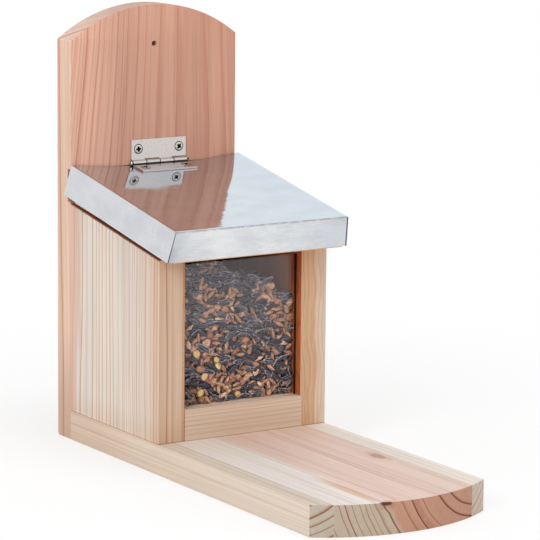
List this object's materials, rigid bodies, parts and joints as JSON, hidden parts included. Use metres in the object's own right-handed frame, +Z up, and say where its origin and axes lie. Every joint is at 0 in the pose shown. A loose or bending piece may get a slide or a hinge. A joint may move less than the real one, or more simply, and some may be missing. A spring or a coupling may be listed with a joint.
{
  "type": "squirrel feeder box",
  "caption": "Wooden squirrel feeder: arched back board, long shelf, feed box with a window, and a sloping metal-clad lid that opens on a butt hinge.",
  "frame": {"origin": "middle of the footprint, on the underside of the shelf and back board", "axes": "+Z up, +Y towards the back board, +X to the right seen from the front"},
  "size_m": [0.1228, 0.3014, 0.2635],
  "materials": {
    "back_wood": "planed salmon-coloured softwood, straight upright grain",
    "shelf_wood": "planed pale softwood, fine grain along the shelf",
    "shelf_heartwood": "planed softwood, pale at one side and pink heartwood beyond, with a knot",
    "side_wood": "planed cream softwood with orange growth stripes",
    "rail_wood": "planed softwood, level stripes",
    "lid_wood": "planed pale softwood",
    "window": "clear acrylic sheet",
    "sheet_metal": "bright folded sheet, mirror-like on top, slightly mottled on the flanges",
    "hinge_metal": "bright nickel plate",
    "hinge_screw_metal": "bright nickel plate, cross recess",
    "wood_screw_metal": "zinc-plated, cross recess",
    "feed": "dry seed and nut mix, shown behind the window only"
  },
  "bodies": {
    "feeder": {"back_board": "back_wood", "shelf_stave_left": "shelf_wood", "shelf_stave_middle": "shelf_heartwood", "shelf_stave_right": "shelf_wood", "side_panel_left": "side_wood", "side_panel_right": "side_wood", "front_rail": "rail_wood", "window_pane": "window", "hinge_leaf_upper": "hinge_metal", "hinge_pin": "hinge_metal", "hinge_screw_upper_left": "hinge_screw_metal", "back_screw_side_low_left": "wood_screw_metal", "back_screw_side_high_left": "wood_screw_metal", "back_screw_shelf_left": "wood_screw_metal", "shelf_screw_side_rear_left": "wood_screw_metal", "shelf_screw_side_front_left": "wood_screw_metal", "shelf_screw_rail_left": "wood_screw_metal", "hinge_screw_upper_right": "hinge_screw_metal", "back_screw_side_low_right": "wood_screw_metal", "back_screw_side_high_right": "wood_screw_metal", "back_screw_shelf_right": "wood_screw_metal", "shelf_screw_side_rear_right": "wood_screw_metal", "shelf_screw_side_front_right": "wood_screw_metal", "shelf_screw_rail_right": "wood_screw_metal"},
    "lid": {"lid_board": "lid_wood", "lid_sheet": "sheet_metal", "hinge_leaf_lower": "hinge_metal", "hinge_screw_lower_left": "hinge_screw_metal", "hinge_screw_lower_right": "hinge_screw_metal"}
  },
  "joints": [
    {"name": "lid_hinge", "type": "hinge", "parent": "feeder", "child": "lid", "pos_m": [0, 0.13265, 0.16767], "axis": [-1, 0, 0], "range_deg": [0, 98]}
  ]
}
